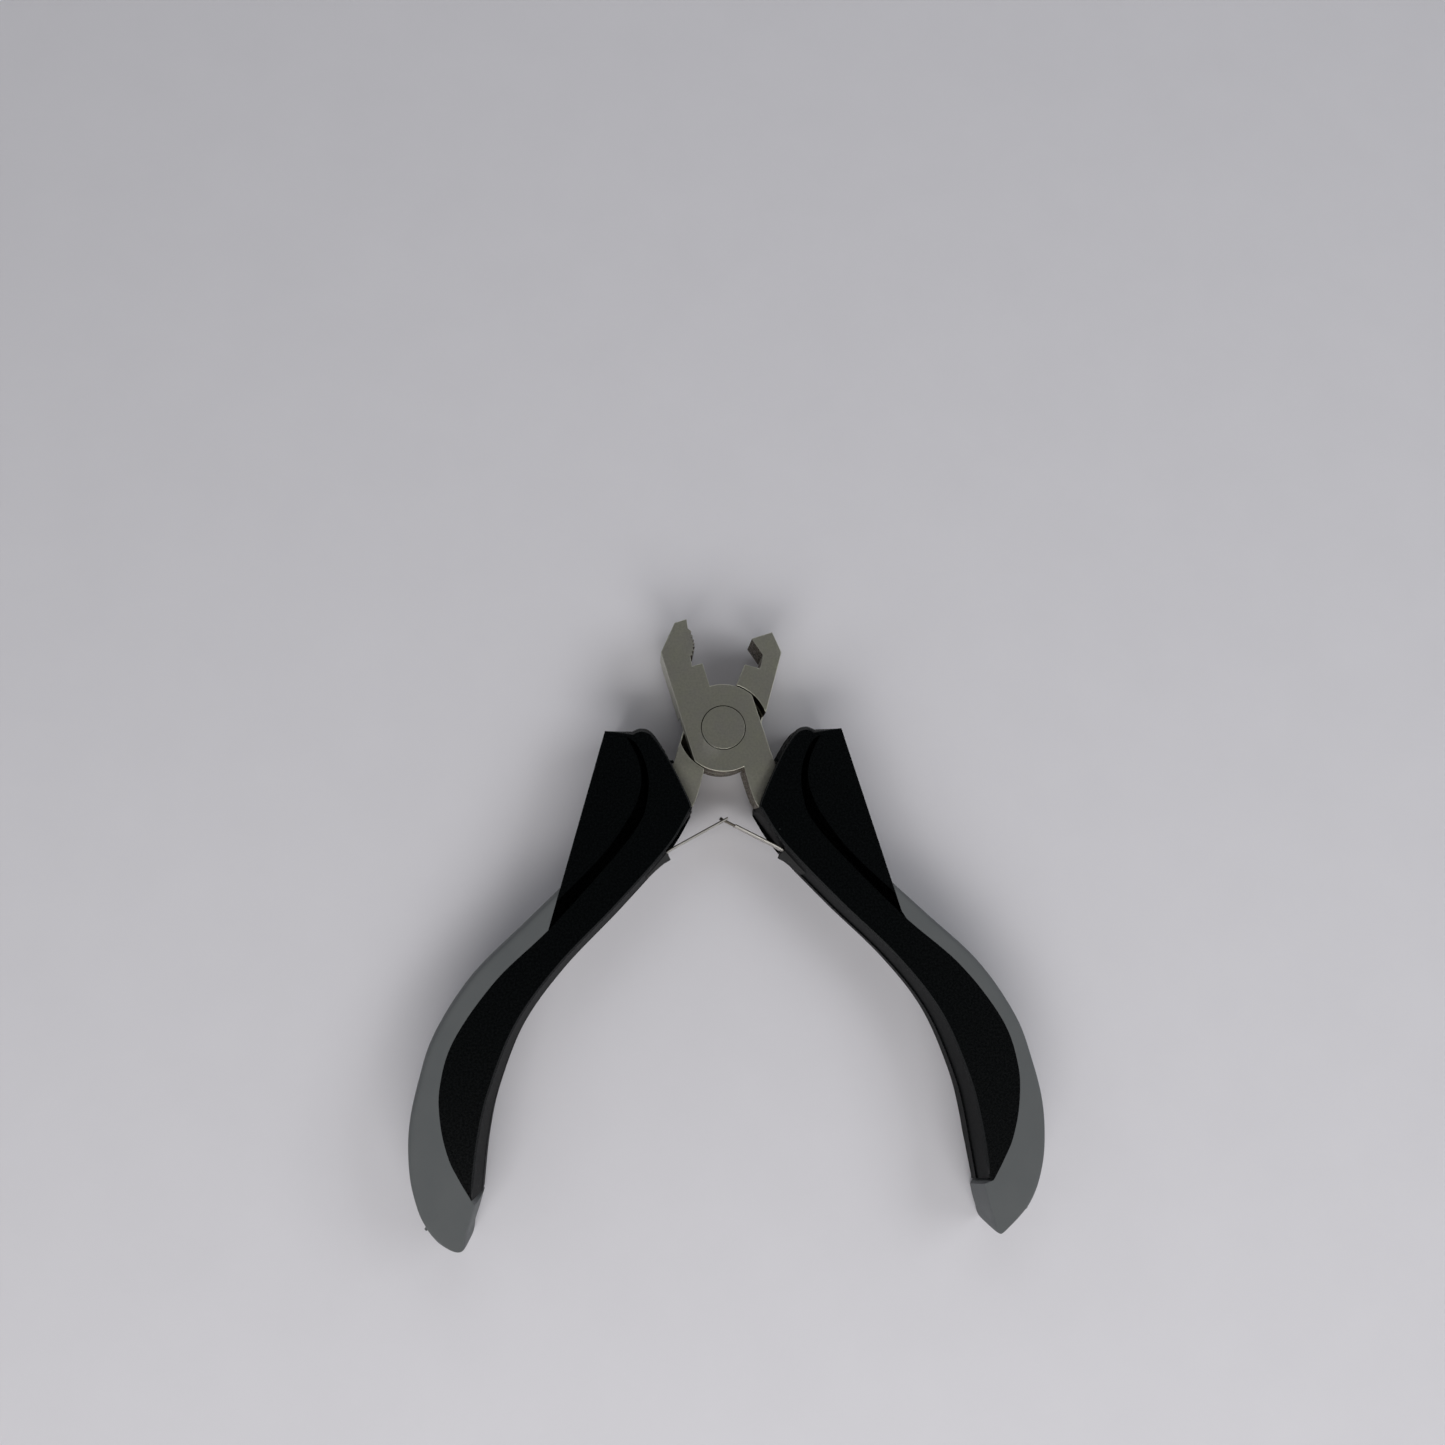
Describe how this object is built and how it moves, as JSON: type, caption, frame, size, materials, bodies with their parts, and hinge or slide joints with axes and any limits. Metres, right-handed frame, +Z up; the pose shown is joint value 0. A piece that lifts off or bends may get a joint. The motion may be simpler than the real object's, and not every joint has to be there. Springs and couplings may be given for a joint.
{
  "type": "notched-jaw crimping pliers",
  "caption": "Small hand pliers with a notched, hooked mouth, a riveted lap joint, two-colour curved grips and linked leaf springs that hold them open.",
  "frame": {"origin": "on the table, under the middle of the footprint of the pliers as they lie open", "axes": "+Z up from the table, along the pivot axis; +Y from the handles towards the jaws; +X towards the handle of the upper lever"},
  "size_m": [0.1172, 0.1171, 0.0125],
  "materials": {
    "tool_steel": "fine satin, warm grey",
    "spring_steel": "bright rolled strip",
    "black_plastic": "fine moulded grain",
    "grey_rubber": "smooth, matte"
  },
  "bodies": {
    "lower_half": {"lower_lever": "tool_steel", "pivot_rivet": "tool_steel", "left_grip_core": "black_plastic", "left_grip_cushion": "grey_rubber", "left_spring_root": "spring_steel"},
    "upper_half": {"upper_lever": "tool_steel", "right_grip_core": "black_plastic", "right_grip_cushion": "grey_rubber", "right_spring_root": "spring_steel"},
    "left_leaf": {"left_spring_leaf": "spring_steel"},
    "right_leaf": {"right_spring_leaf": "spring_steel"}
  },
  "joints": [
    {"name": "handle_pivot", "type": "hinge", "parent": "lower_half", "child": "upper_half", "pos_m": [0, 0.03654, 0.00625], "axis": [0, 0, -1], "range_deg": [0, 32], "stiffness_Nm_per_rad": 0.5},
    {"name": "left_leaf_flex", "type": "hinge", "parent": "lower_half", "child": "left_leaf", "pos_m": [-0.011, 0.01306, 0.00625], "axis": [0, 0, 1], "range_deg": [0, 26.7]},
    {"name": "right_leaf_flex", "type": "hinge", "parent": "upper_half", "child": "right_leaf", "pos_m": [0.011, 0.01306, 0.00625], "axis": [0, 0, -1], "range_deg": [0, 26.7]}
  ],
  "couplings": [
    {"joint": "left_leaf_flex", "follows": "handle_pivot", "ratio": 0.8325},
    {"joint": "right_leaf_flex", "follows": "handle_pivot", "ratio": 0.8325}
  ]
}
